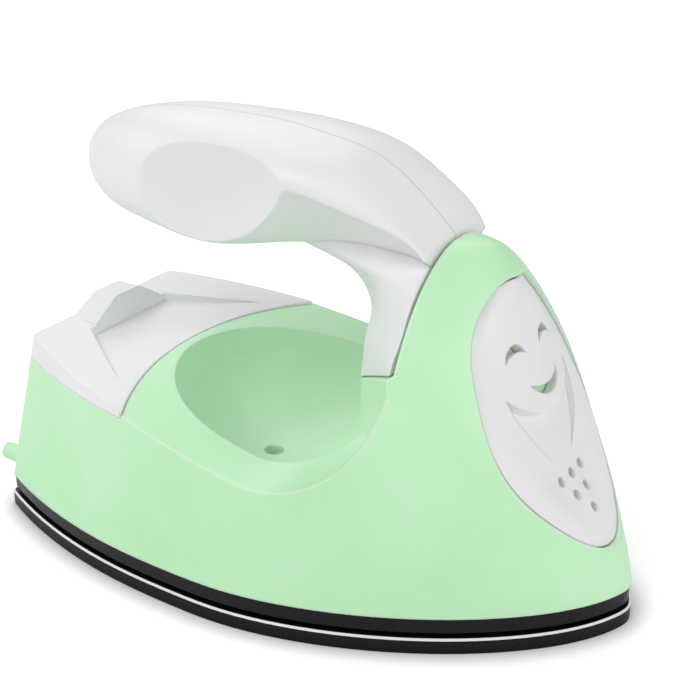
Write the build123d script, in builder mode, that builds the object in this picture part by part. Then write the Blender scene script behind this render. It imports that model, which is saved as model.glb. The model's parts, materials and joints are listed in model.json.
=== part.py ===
from build123d import *
from math import cos, radians, sin, sqrt
import os

# Mini craft iron, millimetres, +Z up, nose towards +X, standing on its sole at z = 0

# Overall plan, seen from above
sole_length = 110.0
sole_width = 68.4
heel_width = 44.6
peg_reach = 3.4
widest_share = 0.488
nose_x = (sole_length + peg_reach) / 2
heel_x = nose_x - sole_length
widest_x = heel_x + widest_share * sole_length
overrun = 40.0
fit_gap = 0.15

# Curve exponents of the plan outline, low down and high up
heel_power = 2.35
nose_power = 1.66
side_power = 1.55
high_nose_power = 3.3
high_side_power = 2.0
crown_nose_power = 5.0
crown_power = 1.9
side_shares = (1.0, 0.7, 0.4, 0.15)
nose_angles = (0, 18, 36, 54, 70, 82)

# Sole, groove and skirt
sole_thickness = 2.6
groove_height = 0.9
groove_depth = 1.6
skirt_height = 2.5
skirt_inset = 0.45
skirt_floor = 1.2
skirt_wall = 2.2
sole_edge = 0.3
heel_corner_share = 0.05
skirt_base = sole_thickness + groove_height
shell_base = skirt_base + skirt_height

# Shell of the housing
wall = 1.6
shell_inset = 0.3
side_draft = 0.16
heel_lean = 0.2
hood_height = 52.4
shoulder_height = 28.0
blend_height = 37.0
hood_setback = 26.5
level_shares = (0.0, 0.172, 0.345, 0.517, 0.651, 0.747, 0.843, 0.92, 0.969, 0.992, 0.998)
setback_shares = (0.011, 0.12, 0.253, 0.419, 0.574, 0.676, 0.776, 0.862, 0.922, 0.965, 0.985)
inner_nose_factor = 1.3

# Deck and hood rim, seen from the side
cover_reach = 33.0
deck_height = 28.7
deck_slope = 0.2
deck_tip_x = heel_x + cover_reach
hood_length = 31.6
rim_lean = 0.05
rim_x = nose_x - hood_length
deck_arc = 19.5
sill_height = 43.3

# Post under the handle's foot
post_nose_setback = 46.4
post_nose_x = nose_x - post_nose_setback
post_nose_half = 5.0
post_rim_half = 23.0
post_corner = 3.0
post_height = 33.2
post_root = 21.0
post_wall = 1.8
post_slope = (sill_height - post_height) / (rim_x - post_nose_x)

# Finger bowl
bowl_setback = 58.0
bowl_x = nose_x - bowl_setback
bowl_back = 24.8
bowl_front = 14.0
bowl_half = 22.2
bowl_top = 24.0
bowl_bottom = 12.1
bowl_power = 1.8
bowl_front_power = 3.0
bowl_level_shares = (1.0, 0.9, 0.78, 0.62, 0.44, 0.26, 0.1)
bowl_back_angles = (90, 67, 45, 22)
bowl_front_angles = (0, 22, 45, 67)
bowl_hole = 3.6
bowl_hole_setback = 66.9
bowl_hole_x = nose_x - bowl_hole_setback

# Handle grip
grip_length = 71.8
grip_x = rim_x - fit_gap - grip_length
grip_axis = 61.0
grip_half_height = 12.0
grip_half_width = 15.5
grip_wall = 2.0
seam_gap = 0.08
top_power = 2.6
# Place along the grip, then top, bottom, side, crease height and the power of the underside
grip_shares = (
    (0.0, 0.02, -0.1, 0.035, -0.04, 2.6),
    (0.008, 0.22, -0.17, 0.15, 0.02, 2.6),
    (0.03, 0.45, -0.29, 0.3, 0.08, 2.6),
    (0.071, 0.68, -0.45, 0.44, 0.11, 2.7),
    (0.127, 0.82, -0.57, 0.57, 0.12, 2.8),
    (0.21, 0.92, -0.63, 0.74, 0.13, 2.8),
    (0.322, 0.98, -0.69, 0.91, 0.14, 2.8),
    (0.448, 0.985, -0.72, 1.0, 0.14, 2.8),
    (0.573, 0.955, -0.66, 1.0, 0.3, 1.9),
    (0.7, 0.84, -0.68, 0.95, 0.42, 1.1),
    (0.81, 0.67, -0.88, 0.86, 0.24, 0.85),
    (0.91, 0.26, -1.12, 0.77, 0.04, 0.8),
    (0.97, -0.07, -1.25, 0.7, -0.18, 0.8),
    (1.0, -0.28, -1.33, 0.66, -0.44, 0.8),
)
grip_angles = (0, 15, 32, 50, 68, 90)
keel_share = 0.1
scoop_radius = 32.7
scoop_half = 10.7
scoop_setback = 69.8
scoop_height = 62.0

# Flared foot of the handle
foot_step = 0.45
foot_reach = 14.0
foot_floor = 2.6
spigot_length = 3.2
foot_top = 57.0
# Height above the post's nose, nose setback, half width at the rim and at the nose of each section
foot_shares = (
    (-0.1, 0.0, 1.0, 1.0),
    (0.04, 0.0, 1.0, 1.0),
    (0.18, 0.0, 1.0, 0.86),
    (0.32, 0.0, 1.0, 0.66),
    (0.46, -0.02, 0.964, 0.44),
    (0.58, 0.05, 0.846, 0.32),
    (0.69, 0.2, 0.751, 0.3),
    (0.77, 0.45, 0.674, 0.3),
    (0.83, 0.84, 0.615, 0.3),
    (0.92, 1.4, 0.48, 0.3),
    (1.0, 1.9, 0.29, 0.3),
)
foot_inset_share = 0.36

# Rear cover
cover_bow = 7.5
cover_half = 28.5
cover_seat = 28.1
cover_seat_slope = 0.048
cover_tip_height = 29.1
cover_slope = 0.157
cover_ledge = 3.0
cover_lip = 1.2
cover_lip_wall = 1.2
hump_length = 11.5
hump_x = heel_x + hump_length
trough_length = 15.0
trough_back_half = 10.5
trough_front_half = 21.0
trough_height = 31.0
trough_slope = 0.058
hump_height = 36.4
hump_top_half = 3.3
hump_foot_height = 33.0
hump_foot_half = 8.8
hump_round = 1.5

# Face plate, laid out on a plane that leans along the nose
plate_setback = 23.7
plate_height = 52.8
plate_length = 44.5
plate_half = 16.9
plate_start = 0.2
plate_lean = 25.4
plate_gap = 0.25
plate_skin = 1.8
plate_edge = 1.6
pocket_depth = 5.2
plate_relief = 3.3
plate_outline_shares = (
    (0.0, 0.0), (0.02, 0.42), (0.127, 0.77), (0.262, 0.925), (0.437, 1.0),
    (0.59, 0.955), (0.71, 0.83), (0.83, 0.63), (0.939, 0.38), (0.985, 0.2), (1.0, 0.0),
)
# Place along the plate, then its relief at the middle, crease, band and edge
plate_relief_shares = (
    (-0.03, 0.36, 0.3, 0.1, -0.5),
    (0.08, 0.36, 0.2, -0.15, -0.7),
    (0.2, 0.09, -0.05, -0.45, -0.96),
    (0.31, 0.12, -0.1, -0.5, -0.98),
    (0.4, 0.2, -0.08, -0.48, -0.97),
    (0.5, 0.0, -0.2, -0.42, -0.9),
    (0.62, -0.36, -0.4, -0.34, -0.76),
    (0.72, -0.38, -0.4, -0.2, -0.56),
    (0.82, -0.02, -0.06, 0.04, -0.27),
    (0.91, 0.3, 0.26, 0.2, 0.03),
    (1.03, 0.5, 0.48, 0.5, 0.55),
)
crease_share = 0.4
band_share = 0.7
slot_width = 1.3
eye_place = 5.2
eye_half = 2.7
eye_along = 11.0
eye_rise = 2.2
smile_half = 4.8
smile_along = 15.6
smile_drop = 2.8
smile_width = 1.6
dent_top = 21.0
dent_half = 10.4
dent_tip = 29.8
dent_depth = 3.6
dent_shallow = 1.4
dent_wing = 5.5
dent_cheek_share = 0.62
vent_hole = 1.7
vent_pitch = 3.1
vent_spread = 3.7
vent_along = 31.9
plate_peg = 2.0
plate_peg_alongs = (10.0, 40.0)
plate_peg_length = 2.4

# Heel pegs
peg_diameter = 3.6
peg_taper = 0.3
peg_height = 8.4
peg_place = 19.3

# Screws and the bosses that take them
screw_shank = 2.0
screw_head = 3.5
screw_head_height = 1.3
small_shank = 1.6
small_head = 2.9
small_head_height = 0.9
thread_gap = 0.05
slot_share = 0.5
pilot_share = 0.7
boss_diameter = 6.6
boss_bore = 3.8
boss_floor = 1.4
boss_height = 6.0
shank_gap = 0.1
heel_boss_place = 13.0
heel_boss_x = heel_x + wall + boss_diameter / 2
sole_screw_setback = 12.0
sole_screw_place = 20.5
nose_screw_setback = 17.7
nose_screw_place = 11.0
foot_screw_x = rim_x - 6.4
foot_screw_place = 7.5
foot_screw_bite = 7.0
foot_boss = 6.0
foot_seat_drop = 3.4
grip_screw_shares = (0.14, 0.83)
grip_screw_height = 61.2
grip_screw_seat = 5.0
grip_screw_bite = 5.5
grip_boss = 5.2

# Heater stack on the sole
heater_length = 34.0
heater_width = 20.0
heater_height = 4.2
heater_setback = 40.0
heater_x = nose_x - heater_setback
pad_length = 37.0
pad_width = 37.0
pad_gap = 0.5
pad_corner = 2.0
mica_thickness = 0.4
mica_margin = 0.2
clamp_thickness = 0.8
clamp_width = 9.0
clamp_span = 34.0
clamp_screw_place = 15.2
shield_thickness = 0.5
shield_length = 32.0
shield_width = 42.0
shield_flange = 1.2
shield_gap = 1.2

# Thermal fuse beside the heater
fuse_diameter = 3.0
fuse_length = 9.0
sleeve_wall = 0.5
fuse_place = 12.8
fuse_setback = 28.7
clip_width = 4.0
clip_thickness = 0.5

# Terminal block, leads, cord clamp and inlet
block_length = 9.0
block_width = 15.0
block_height = 8.5
block_setback = 95.0
block_x = nose_x - block_setback
block_pitch = 6.5
block_well = 3.6
lead_diameter = 1.3
lead_bend = 4.0
lead_short_bend = 1.6
lead_side = 7.0
lead_run = 11.0
lead_loop = 3.0
clamp_bar_length = 4.0
clamp_bar_width = 17.0
clamp_bar_height = 2.2
clamp_bar_setback = 9.9
clamp_bar_x = heel_x + clamp_bar_setback
clamp_bar_place = 6.2
clamp_bar_bite = 4.5
inlet_bore = 4.0
inlet_outer = 5.0
inlet_flange = 6.2
inlet_flange_thickness = 0.8
inlet_height = 32.3
cover_wall = 1.5
pocket_top = 35.4
pocket_half = 3.3


def lerp(low, high, share):
    return low + (high - low) * share


def half_outline(width, heel_half, heel, nose, nose_exponent, side_exponent):
    """Points of the near half of a plan outline, from the heel corner to just before the nose."""
    points = [(lerp(widest_x, heel, share), -lerp(width, heel_half, share ** heel_power))
              for share in side_shares]
    for angle in nose_angles:
        along = sin(radians(angle)) ** (2 / nose_exponent)
        across = cos(radians(angle)) ** (2 / side_exponent)
        points.append((lerp(widest_x, nose, along), -width * across))
    return points


def plan_sketch(height, near_half, nose, corner):
    """A whole plan outline at a height, with rounded heel corners."""
    far_half = [(x, -y) for x, y in reversed(near_half)]
    with BuildSketch(Plane.XY.offset(height)) as plan:
        with BuildLine():
            side = Spline(*near_half, (nose, 0), *far_half)
            Line(side @ 1, side @ 0)
        make_face()
        fillet(plan.vertices().group_by(Axis.X)[0], radius=corner)
    return plan.sketch


def base_plan(height, inset):
    """The sole's outline, drawn in by an inset."""
    width = sole_width / 2 - inset
    near = half_outline(width, heel_width / 2 - inset, heel_x + inset, nose_x - inset,
                        nose_power, side_power)
    return plan_sketch(height, near, nose_x - inset, heel_corner_share * width)


def shell_level(level_share, setback_share, inset):
    """The housing's outline at one level, drawn in by an inset."""
    height = level_share * (hood_height - inset)
    crown = hood_height - inset - shoulder_height
    rise = max(height - shoulder_height, 0) / crown
    width = sole_width / 2 - shell_inset - inset - side_draft * height
    width *= sqrt(1 - rise ** crown_power)
    heel = heel_x + shell_inset + inset + heel_lean * height
    nose = nose_x - setback_share * hood_setback - inset * inner_nose_factor
    blend = min(height / blend_height, 1)
    crown_blend = max(height - blend_height, 0) / (hood_height - blend_height)
    nose_exponent = lerp(lerp(nose_power, high_nose_power, blend), crown_nose_power, crown_blend ** 2)
    near = half_outline(width, width * heel_width / sole_width, heel, nose, nose_exponent,
                        lerp(side_power, high_side_power, blend))
    return plan_sketch(shell_base + height, near, nose, heel_corner_share * width)


def shell_form(inset):
    """The full outer form of the housing, lofted through its levels."""
    with BuildPart() as form:
        for level_share, setback_share in zip(level_shares, setback_shares):
            add(shell_level(level_share, setback_share, inset))
        loft()
    return form.part


def deck_line(x):
    return deck_height - deck_slope * (x - deck_tip_x)


def rim_at(height):
    return rim_x - rim_lean * (height - sill_height)


def deck_form(drop):
    """What lies under the deck and ahead of the hood's rim, drawn in by a drop."""
    start_x = heel_x - overrun
    top_z = shell_base + hood_height + overrun
    corner_x = rim_at(0) + drop
    corner_z = deck_line(corner_x) - drop
    with BuildPart() as form:
        with BuildSketch(Plane.XZ):
            with BuildLine():
                FilletPolyline((start_x, deck_line(start_x) - drop), (corner_x, corner_z),
                               (rim_at(top_z) + drop, top_z), radius=deck_arc + drop)
                Polyline((rim_at(top_z) + drop, top_z), (nose_x + overrun, top_z),
                         (nose_x + overrun, -overrun), (start_x, -overrun),
                         (start_x, deck_line(start_x) - drop))
            make_face()
        extrude(amount=sole_width, both=True)
    return form.part


def side_slab(points):
    """A slab across the whole width from a side view given in X and Z."""
    with BuildPart() as slab:
        with BuildSketch(Plane.XZ):
            with BuildLine():
                Polyline(*points, close=True)
            make_face()
        extrude(amount=sole_width, both=True)
    return slab.part


def post_line(x, lift):
    return post_height + lift + post_slope * (x - post_nose_x)


def below_post_line(lift):
    left = post_nose_x - overrun
    right = rim_x + overrun
    return side_slab([(left, post_line(left, lift)), (right, post_line(right, lift)),
                      (right, -overrun), (left, -overrun)])


def wedge(height, nose, nose_half, end_x, end_half, corner):
    """Plan of the post and of the handle's foot: a blunt nose that widens to the hood's rim."""
    with BuildSketch(Plane.XY.offset(height)) as plan:
        with BuildLine():
            Polyline((nose, -nose_half), (end_x, -end_half), (end_x, end_half), (nose, nose_half),
                     close=True)
        make_face()
        fillet(plan.vertices().group_by(Axis.X)[0], radius=corner)
    return plan.sketch


def post_form(inset, reach):
    """The post's wedge, drawn in by an inset, up to beyond the handle's seat."""
    flare = (post_rim_half - post_nose_half) / (rim_x - post_nose_x)
    with BuildPart() as form:
        add(wedge(post_root, post_nose_x + inset, post_nose_half - inset, rim_x + reach,
                  post_rim_half - inset + reach * flare, post_corner - inset))
        extrude(amount=overrun)
    return form.part


def bowl_outline(scale, margin):
    """Plan points of the finger bowl, round behind and squarer in front."""
    centre = lerp(bowl_hole_x, bowl_x, scale)
    back = bowl_back * scale + margin
    front = bowl_front * scale + margin
    half = bowl_half * scale + margin
    share = 2 / bowl_front_power
    near = [(centre - back * sin(radians(a)), -half * cos(radians(a))) for a in bowl_back_angles]
    near += [(centre + front * sin(radians(a)) ** share, -half * cos(radians(a)) ** share)
             for a in bowl_front_angles]
    far = [(x, -y) for x, y in reversed(near[1:])]
    return near + [(centre + front, 0)] + far


def bowl_level(share, margin):
    """The bowl's outline at one level, at the height that it has there."""
    height = lerp(bowl_bottom, bowl_top, share ** bowl_power) - margin
    with BuildSketch(Plane.XY.offset(height)) as level:
        with BuildLine():
            Spline(*bowl_outline(share, margin), periodic=True)
        make_face()
    return level.sketch


def bowl_form(margin):
    """The bowl's hollow, or with a margin the skin around it."""
    with BuildPart() as form:
        for share in bowl_level_shares:
            add(bowl_level(share, margin))
        loft()
        add(bowl_level(1, margin))
        extrude(amount=overrun)
    return form.part


def post_block():
    """The green post, trimmed to the hood's own form and to the handle's seat."""
    with BuildPart() as block:
        add(post_form(0, wall))
        add(below_post_line(0), mode=Mode.INTERSECT)
        add(shell_form(0), mode=Mode.INTERSECT)
    return block.part


def seat_line(x):
    return cover_seat - cover_seat_slope * (x - deck_tip_x)


def cover_plan(margin):
    """What lies behind the bowed front edge of the rear cover, moved forward by a margin."""
    tip = deck_tip_x + margin
    with BuildPart() as block:
        with BuildSketch():
            with BuildLine():
                bow = ThreePointArc((tip, -cover_half), (tip - cover_bow, 0), (tip, cover_half))
                Polyline(bow @ 1, (tip, sole_width), (heel_x - overrun, sole_width),
                         (heel_x - overrun, -sole_width), (tip, -sole_width), bow @ 0)
            make_face()
        extrude(amount=hood_height + overrun)
    return block.part


def above_seat(drop):
    """Everything over the seat of the rear cover."""
    left = heel_x - overrun
    right = deck_tip_x + overrun
    top = hood_height + overrun
    return side_slab([(left, seat_line(left) - drop), (right, seat_line(right) - drop),
                      (right, top), (left, top)])


def cover_recess(margin, drop):
    """The room that the rear cover takes out of the housing."""
    with BuildPart() as recess:
        add(cover_plan(margin))
        add(above_seat(drop), mode=Mode.INTERSECT)
    return recess.part


plate_plane = Plane(
    origin=(nose_x - plate_setback, 0, plate_height),
    x_dir=(sin(radians(plate_lean)), 0, -cos(radians(plate_lean))),
    z_dir=(cos(radians(plate_lean)), 0, sin(radians(plate_lean))),
)


def plate_outline(margin):
    """Teardrop outline of the plate in its own plane, grown by a margin."""
    length = plate_length + 2 * margin
    start = -plate_start - margin
    near = [(start + length * a, -(plate_half + margin) * s) for a, s in plate_outline_shares]
    return near + [(a, -s) for a, s in reversed(near[1:-1])]


def plate_prism(low, high, margin):
    """Teardrop prism from one depth to another, measured along the plate's normal."""
    with BuildPart() as prism:
        with BuildSketch(plate_plane.offset(low)):
            with BuildLine():
                Spline(*plate_outline(margin), periodic=True)
            make_face()
        extrude(amount=high - low)
    return prism.part


def plate_half_at(place):
    """Half width of the plate at a share of its length."""
    for (a, s), (b, t) in zip(plate_outline_shares, plate_outline_shares[1:]):
        if a <= place <= b:
            return plate_half * lerp(s, t, (place - a) / (b - a))
    return 0


def plate_face_form(sink):
    """Everything behind the plate's modelled face, lowered by a sink."""
    with BuildPart() as form:
        for place, middle, crease, band, edge in plate_relief_shares:
            half = max(plate_half_at(place), plate_half / 4)
            along = place * plate_length - plate_start
            station = Plane(origin=plate_plane.from_local_coords((along, 0, 0)),
                            x_dir=(0, 1, 0), z_dir=plate_plane.x_dir)
            near = [(half + plate_skin, edge + (edge - band) / 2), (half, edge),
                    (half * band_share, band), (half * crease_share, crease)]
            near = [(-side, relief * plate_relief - sink) for side, relief in near]
            line = near + [(0, middle * plate_relief - sink)] + [(-y, z) for y, z in reversed(near)]
            floor = -pocket_depth - overrun
            with BuildSketch(station):
                with BuildLine():
                    face_line = Spline(*line)
                    Polyline(face_line @ 1, (half + plate_skin, floor), (-half - plate_skin, floor),
                             face_line @ 0)
                make_face()
        loft()
    return form.part


def crescent(side, half, along, rise, width):
    """A crescent slot across the plate; a negative rise bends its ends towards the top."""
    inner = rise - width if rise > 0 else rise + width
    with BuildPart() as slot:
        with BuildSketch(plate_plane.offset(-pocket_depth)):
            with BuildLine():
                ThreePointArc((along, side - half), (along - rise, side), (along, side + half))
                ThreePointArc((along, side + half), (along - inner, side), (along, side - half))
            make_face()
        extrude(amount=2 * pocket_depth)
    return slot.part


def dent_form(margin):
    """The shield-shaped dent under the smile, deepest at its lip and rising to its tip."""
    top = dent_top - margin
    wing = dent_top - dent_wing - margin
    tip = dent_tip + margin
    half = dent_half + margin
    cheek = dent_half * dent_cheek_share + margin
    middle = lerp(dent_top, dent_tip, 0.5)
    with BuildPart() as dent:
        with BuildSketch(plate_plane.offset(-dent_depth - margin)):
            with BuildLine():
                ThreePointArc((wing, -half), (top, 0), (wing, half))
                Spline((wing, half), (middle, cheek), (tip, 0), (middle, -cheek), (wing, -half))
            make_face()
        extrude(amount=2 * dent_depth + margin)
        add(dent_slab(margin), mode=Mode.INTERSECT)
    return dent.part


def dent_slab(margin):
    """Everything over the dent's sloping floor."""
    corners = ((0, -dent_depth - margin), (dent_tip, -dent_shallow - margin),
               (plate_length, -dent_shallow - margin), (plate_length, dent_depth), (0, dent_depth))
    places = [plate_plane.from_local_coords((along, 0, out)) for along, out in corners]
    return side_slab([(place.X, place.Z) for place in places])


def plate_hollow(gap):
    """The plate's open back, or with a gap the core of the housing that fills it."""
    with BuildPart() as hollow:
        add(plate_prism(-pocket_depth - wall / 2, overrun / 4, -plate_gap - plate_edge - gap))
        add(plate_face_form(plate_skin + gap), mode=Mode.INTERSECT)
        add(dent_form(plate_skin + gap), mode=Mode.SUBTRACT)
    return hollow.part


def grip_section(place, top, bottom, side, crease, power, inset):
    """One section of the grip, an arched top over an underside that meets it at a crease."""
    top_z = grip_axis + grip_half_height * top - inset
    bottom_z = grip_axis + grip_half_height * bottom + inset
    side_y = grip_half_width * side - inset
    crease_z = min(grip_axis + grip_half_height * crease, top_z)
    upper = []
    lower = []
    for angle in grip_angles:
        across = cos(radians(angle))
        rise = sin(radians(angle))
        upper.append((side_y * across ** (2 / top_power),
                      lerp(crease_z, top_z, rise ** (2 / top_power))))
        lower.append((side_y * lerp(keel_share, 1, across ** (2 / power)),
                      lerp(crease_z, bottom_z, rise ** (2 / power))))
    upper[-1] = (0, top_z)
    lower[-1] = (0, bottom_z)
    over = upper + [(-y, z) for y, z in reversed(upper[:-1])]
    under = [(-y, z) for y, z in lower] + list(reversed(lower[:-1]))
    station = Plane(origin=(grip_x + place * grip_length, 0, 0), x_dir=(0, 1, 0), z_dir=(1, 0, 0))
    with BuildSketch(station) as section:
        with BuildLine():
            Spline(*over)
            Spline(*under)
        make_face()
    return section.sketch


def grip_form(inset):
    """The grip, lofted through its sections."""
    with BuildPart() as form:
        for place, top, bottom, side, crease, power in grip_shares:
            if grip_half_width * side > 2 * inset:
                add(grip_section(place, top, bottom, side, crease, power, inset))
        loft()
    return form.part


def foot_form(inset):
    """The flared foot of the handle, lofted through wedges."""
    with BuildPart() as form:
        for rise, back, half, nose in foot_shares:
            nose_half = post_nose_half * nose - inset * foot_inset_share
            add(wedge(lerp(post_height, foot_top, rise), post_nose_x + inset - foot_reach * back,
                      nose_half, rim_x + foot_step, post_rim_half * half - inset,
                      min(post_corner - inset / 2, nose_half)))
        loft()
    return form.part


def behind_rim(gap):
    """Everything behind the hood's rim and above the post, with a gap to both."""
    left = heel_x - overrun
    top = hood_height + overrun
    return side_slab([(left, post_line(left, gap)), (rim_at(sill_height) - gap, sill_height + gap),
                      (rim_at(top) - gap, top), (left, top)])


def hood_plug(gap, length):
    """The plug that closes the mouth of the hood, with a gap all round."""
    low = sill_height + gap
    top = hood_height + overrun
    with BuildPart() as plug:
        add(shell_form(wall + gap))
        add(side_slab([(rim_at(low) - 2 * gap, low), (rim_at(low) + length, low),
                       (rim_at(top) + length, top), (rim_at(top) - 2 * gap, top)]),
            mode=Mode.INTERSECT)
        add(plate_prism(-pocket_depth - wall - gap, overrun, wall + gap), mode=Mode.SUBTRACT)
    return plug.part


def rear_room():
    """Room under the rear cover."""
    with BuildPart() as room:
        add(shell_form(wall))
        add(cover_plan(-cover_ledge), mode=Mode.INTERSECT)
    return room.part


def mouth_room():
    """The opening in the hood's rim, above its sill."""
    low = rim_at(sill_height)
    top = shell_base + hood_height
    with BuildPart() as room:
        add(shell_form(wall))
        add(side_slab([(low - wall, sill_height), (low + 2 * wall, sill_height),
                       (rim_at(top) + 2 * wall, top), (rim_at(top) - wall, top)]),
            mode=Mode.INTERSECT)
    return room.part


def post_room():
    """Room inside the post."""
    with BuildPart() as room:
        add(post_form(post_wall, wall))
        add(below_post_line(-post_wall), mode=Mode.INTERSECT)
        add(shell_form(wall), mode=Mode.INTERSECT)
    return room.part


def housing_room():
    """The housing's inside, open below, at the hood's mouth and under the rear cover."""
    with BuildPart() as room:
        add(shell_form(wall))
        add(deck_form(wall), mode=Mode.INTERSECT)
        add(rear_room())
        add(mouth_room())
        add(post_room())
        add(bowl_form(wall), mode=Mode.SUBTRACT)
        add(plate_prism(-pocket_depth - wall, overrun, wall), mode=Mode.SUBTRACT)
        with Locations(*[(x, y, post_line(x, -foot_seat_drop)) for x, y in foot_screw_places]):
            Cylinder(foot_boss / 2, overrun, mode=Mode.SUBTRACT,
                     align=(Align.CENTER, Align.CENTER, Align.MIN))
        with Locations(*[(x, y, shell_base) for x, y in housing_boss_places]):
            Cylinder(boss_diameter / 2, boss_height, mode=Mode.SUBTRACT,
                     align=(Align.CENTER, Align.CENTER, Align.MIN))
    return room.part


def cover_line(x):
    return cover_tip_height - cover_slope * (x - deck_tip_x)


def trough_line(x):
    return trough_height - trough_slope * (x - hump_x)


def cover_top_form():
    """Everything under the cover's top: its slope, the hump at the heel and the trough ahead of it."""
    left = heel_x - overrun
    right = deck_tip_x + overrun
    with BuildPart() as form:
        add(side_slab([(left, cover_line(left)), (right, cover_line(right)), (right, 0), (left, 0)]))
        with BuildSketch(Plane.YZ.offset(heel_x - overrun)) as hump:
            with BuildLine():
                Polyline((-hump_foot_half, 0), (-hump_foot_half, hump_foot_height),
                         (-hump_top_half, hump_height), (hump_top_half, hump_height),
                         (hump_foot_half, hump_foot_height), (hump_foot_half, 0), close=True)
            make_face()
            fillet(hump.vertices().group_by(Axis.Y)[-1], radius=hump_round)
        extrude(amount=hump_length + overrun)
        add(trough_form(), mode=Mode.SUBTRACT)
    return form.part


def trough_form():
    """The shallow trough, wider towards the front, that fades out in the cover's slope."""
    front = hump_x + trough_length
    end = deck_tip_x + overrun
    with BuildPart() as form:
        with BuildSketch():
            with BuildLine():
                Polyline((hump_x, -trough_back_half), (front, -trough_front_half),
                         (front, trough_front_half), (hump_x, trough_back_half), close=True)
            make_face()
        extrude(amount=hood_height + overrun)
        add(side_slab([(heel_x, trough_line(heel_x)), (end, trough_line(end)),
                       (end, 2 * hump_height), (heel_x, 2 * hump_height)]), mode=Mode.INTERSECT)
    return form.part


def cover_lip_form():
    """The lip under the cover that finds the inside of the housing's walls."""
    with BuildPart() as form:
        add(shell_form(wall + fit_gap))
        add(shell_form(wall + fit_gap + cover_lip_wall), mode=Mode.SUBTRACT)
        add(cover_plan(-cover_ledge - fit_gap), mode=Mode.INTERSECT)
        add(above_seat(cover_lip), mode=Mode.INTERSECT)
        add(above_seat(0), mode=Mode.SUBTRACT)
    return form.part


def heel_line(height):
    return heel_x + shell_inset + heel_lean * (height - shell_base)


def heel_peg(y):
    """A round peg on the heel, on which the iron stands when it is set down upright."""
    root = heel_line(peg_height) + wall / 2
    with BuildPart(Plane(origin=(root, y, peg_height), z_dir=(-1, 0, 0))) as peg:
        Cone(peg_diameter / 2, peg_diameter / 2 - peg_taper, root - heel_x + peg_reach,
             align=(Align.CENTER, Align.CENTER, Align.MIN))
        fillet(peg.edges().sort_by(Axis.X)[0], radius=peg_taper)
    return peg.part


inlet_plane = Plane(origin=(heel_line(inlet_height), 0, inlet_height),
                    x_dir=(0, 1, 0), z_dir=(-1, 0, heel_lean))


def handle_form():
    """The whole handle: grip, scoops, flared foot and the plug in the hood's mouth."""
    with BuildPart() as form:
        add(grip_form(0))
        add(behind_rim(fit_gap), mode=Mode.INTERSECT)
        with Locations(*scoop_centres):
            Sphere(scoop_radius, mode=Mode.SUBTRACT)
        add(handle_foot())
        add(hood_plug(fit_gap, spigot_length))
    return form.part


def handle_foot():
    """The flared foot between the post's seat and the hood's rim."""
    with BuildPart() as form:
        add(foot_form(0))
        add(behind_rim(fit_gap), mode=Mode.INTERSECT)
        add(shell_form(foot_step), mode=Mode.INTERSECT)
    return form.part


def handle_room(form):
    """The inside of the grip or of its foot, less the scoops' backs and the columns for the screws."""
    with BuildPart() as room:
        add(form)
        add(behind_rim(foot_floor), mode=Mode.INTERSECT)
        with Locations(*scoop_centres):
            Sphere(scoop_radius + grip_wall, mode=Mode.SUBTRACT)
        with Locations(*[(x, y, post_line(x, foot_screw_bite)) for x, y in foot_screw_places]):
            Cylinder(foot_boss / 2, overrun, mode=Mode.SUBTRACT,
                     align=(Align.CENTER, Align.CENTER, Align.MAX))
        for place in grip_screw_places:
            with Locations(Plane(origin=place, z_dir=(0, 1, 0))):
                Cylinder(grip_boss / 2, sole_width, mode=Mode.SUBTRACT)
    return room.part


def screw_hole(seat, bite, shank, head):
    """Room for a screw: a pilot for its shank and, above its seat, a way in for its head."""
    with BuildPart(seat) as hole:
        Cylinder(shank / 2 + thread_gap, bite + 2 * fit_gap, align=(Align.CENTER, Align.CENTER, Align.MAX))
        Cylinder(head / 2 + fit_gap, overrun, align=(Align.CENTER, Align.CENTER, Align.MIN))
    return hole.part


def strap(plane, length, inner_half, inner_height, span_half, thickness):
    """A bridge of sheet with a flange at each foot, drawn on a plane and extruded both ways."""
    outer = inner_half + thickness
    crown = inner_height + thickness
    near = [(span_half, 0), (span_half, thickness), (outer, thickness), (outer, crown)]
    under = [(-inner_half, 0), (-inner_half, inner_height), (inner_half, inner_height), (inner_half, 0)]
    with BuildPart() as sheet:
        with BuildSketch(plane):
            with BuildLine():
                Polyline(*near, *[(-y, z) for y, z in reversed(near)], *under, close=True)
            make_face()
        extrude(amount=length / 2, both=True)
    return sheet.part


def lead(points, bends):
    """An insulated lead along straight runs and arcs."""
    with BuildPart() as wire:
        with BuildLine() as path:
            FilletPolyline(*points, radius=bends)
        with BuildSketch(Plane(origin=path.line @ 0, z_dir=path.line % 0)):
            Circle(lead_diameter / 2)
        sweep()
    return wire.part


def screw(seat, bite, shank, head, head_height):
    """A slotted round-headed screw on a plane that faces the driver."""
    axis = Axis(seat.origin, seat.z_dir)
    with BuildPart(seat) as piece:
        Cylinder(head / 2, head_height, align=(Align.CENTER, Align.CENTER, Align.MIN))
        Cylinder(shank / 2, bite, align=(Align.CENTER, Align.CENTER, Align.MAX))
        fillet(piece.edges().sort_by(axis)[-1], radius=head_height * slot_share)
        chamfer(piece.edges().sort_by(axis)[0], length=shank / 5)
        with Locations((0, 0, head_height)):
            Box(head, shank / 4, head_height * slot_share * 2, mode=Mode.SUBTRACT)
    return piece.part


def across(x, z):
    """A plane square to the iron's length, with its second axis upwards."""
    return Plane(origin=(x, 0, z), x_dir=(0, 1, 0), z_dir=(1, 0, 0))


def facing_up(x, y, z):
    return Plane(origin=(x, y, z), z_dir=(0, 0, 1))


def facing_down(x, y, z):
    return Plane(origin=(x, y, z), z_dir=(0, 0, -1))


def facing_left(place):
    """A plane across the handle's far half, on the seat of a grip screw."""
    return Plane(origin=(place[0], grip_screw_seat, place[2]), z_dir=(0, 1, 0))


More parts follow.
